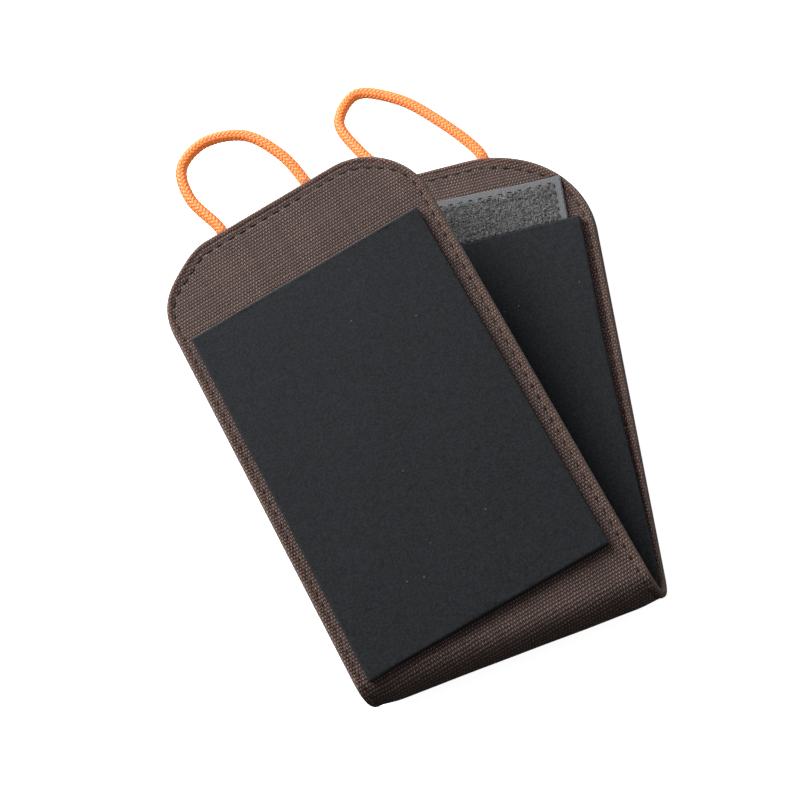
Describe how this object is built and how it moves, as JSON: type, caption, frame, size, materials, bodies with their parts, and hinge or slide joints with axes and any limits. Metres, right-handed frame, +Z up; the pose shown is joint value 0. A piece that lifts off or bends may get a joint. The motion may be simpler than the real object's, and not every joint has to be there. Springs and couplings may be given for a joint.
{
  "type": "folding climbing skin pad",
  "caption": "Short padded fabric strip folded in half, with a textured pad on each face, a hook and loop closure and a cord loop sewn into each rounded end.",
  "frame": {"origin": "centre of the back leg's outer pad face, which the object rests on", "axes": "+X along the fold, +Y from the fold towards the free ends, +Z up"},
  "size_m": [0.1012, 0.1526, 0.0276],
  "materials": {
    "brown_fabric": "matt woven nylon",
    "black_pad": "matt fine-textured foam",
    "loop_tape": "napped loop pile",
    "hook_tape": "hooked nylon",
    "thread": "twisted thread",
    "interlining": "pressed felt",
    "cord": "braided nylon, slightly glossy"
  },
  "bodies": {
    "back_leg": {"back_outer_fabric": "brown_fabric", "back_inner_fabric": "brown_fabric", "back_interlining": "interlining", "back_outer_topstitch": "thread", "back_inner_topstitch": "thread", "back_outer_pad": "black_pad", "back_inner_pad": "black_pad", "back_loop_tape": "loop_tape", "back_loop_tape_stitching": "thread", "back_cord_tail_1": "cord", "back_cord_tail_2": "cord"},
    "fold_slice_1": {"fold_slice_1_outer_fabric": "brown_fabric", "fold_slice_1_interlining": "interlining", "fold_slice_1_inner_fabric": "brown_fabric", "fold_slice_1_inner_pad": "black_pad"},
    "fold_slice_2": {"fold_slice_2_outer_fabric": "brown_fabric", "fold_slice_2_interlining": "interlining", "fold_slice_2_inner_fabric": "brown_fabric", "fold_slice_2_inner_pad": "black_pad"},
    "front_leg": {"front_outer_fabric": "brown_fabric", "front_inner_fabric": "brown_fabric", "front_interlining": "interlining", "front_outer_topstitch": "thread", "front_inner_topstitch": "thread", "front_outer_pad": "black_pad", "front_inner_pad": "black_pad", "front_hook_tape": "hook_tape", "front_hook_tape_stitching": "thread", "front_cord_tail_1": "cord", "front_cord_tail_2": "cord"},
    "back_cord": {"back_cord_loop": "cord"},
    "front_cord": {"front_cord_loop": "cord"}
  },
  "joints": [
    {"name": "fold_1", "type": "hinge", "parent": "back_leg", "child": "fold_slice_1", "pos_m": [0, -0.05116, 0.003], "axis": [1, 0, 0], "range_deg": [-2, 58]},
    {"name": "fold_2", "type": "hinge", "parent": "fold_slice_1", "child": "fold_slice_2", "pos_m": [0, -0.0538, 0.00723], "axis": [1, 0, 0], "range_deg": [-2, 58]},
    {"name": "fold_3", "type": "hinge", "parent": "fold_slice_2", "child": "front_leg", "pos_m": [0, -0.05162, 0.01171], "axis": [1, 0, 0], "range_deg": [-2, 58]},
    {"name": "back_cord_swing", "type": "hinge", "parent": "back_leg", "child": "back_cord", "pos_m": [0.00946, 0.06993, 0.003], "axis": [0.9877, -0.1564, 0], "range_deg": [-60, 60]},
    {"name": "front_cord_swing", "type": "hinge", "parent": "front_leg", "child": "front_cord", "pos_m": [-0.03001, 0.06586, 0.02406], "axis": [0.9877, 0.1556, 0.0164], "range_deg": [-60, 60]}
  ],
  "couplings": [
    {"joint": "fold_2", "follows": "fold_1", "ratio": 1},
    {"joint": "fold_3", "follows": "fold_1", "ratio": 1}
  ]
}
